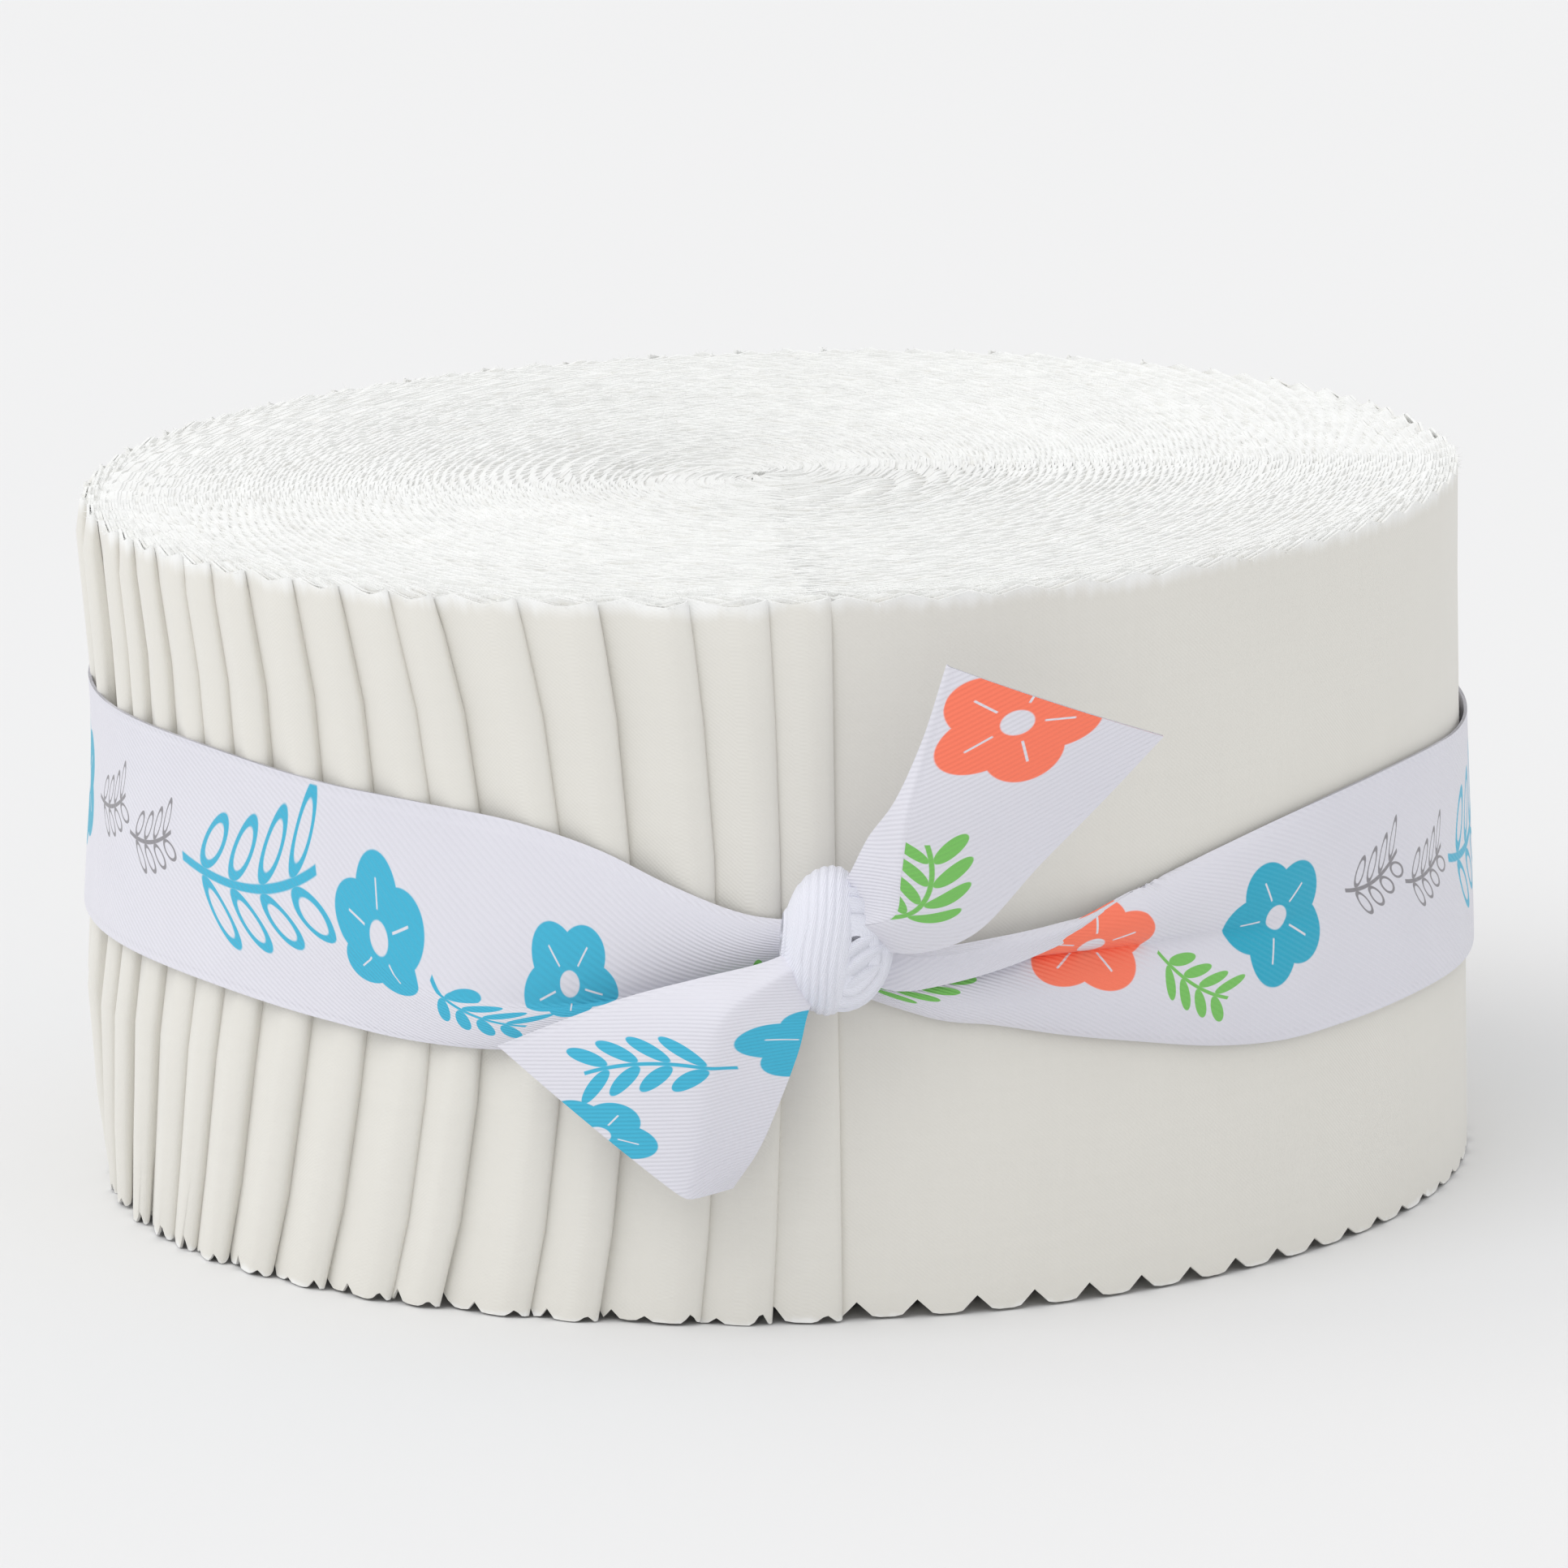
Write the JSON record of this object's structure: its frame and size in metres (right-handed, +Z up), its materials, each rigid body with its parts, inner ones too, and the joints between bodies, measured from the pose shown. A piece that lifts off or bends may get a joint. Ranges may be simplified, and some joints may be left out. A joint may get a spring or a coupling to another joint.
{
  "type": "jelly roll of fabric strips",
  "caption": "Short round roll of pinked, folded cotton strips wound as one bundle, standing on its flat end, tied round the middle with a knotted printed ribbon.",
  "frame": {"origin": "middle of the flat end that the roll stands on", "axes": "+Z up along the roll's axis, -Y out of the front where the ribbon is knotted, +X to the right as seen from the front"},
  "size_m": [0.1275, 0.1431, 0.0635],
  "materials": {
    "cotton": "matt plain-weave quilting cotton, solid off-white",
    "ribbon": "white grosgrain ribbon with a small coloured print"
  },
  "bodies": {
    "root": {"strip_roll": "cotton", "ribbon_band": "ribbon", "ribbon_knot": "ribbon", "ribbon_tail_upper": "ribbon", "ribbon_tail_lower": "ribbon"}
  },
  "joints": []
}
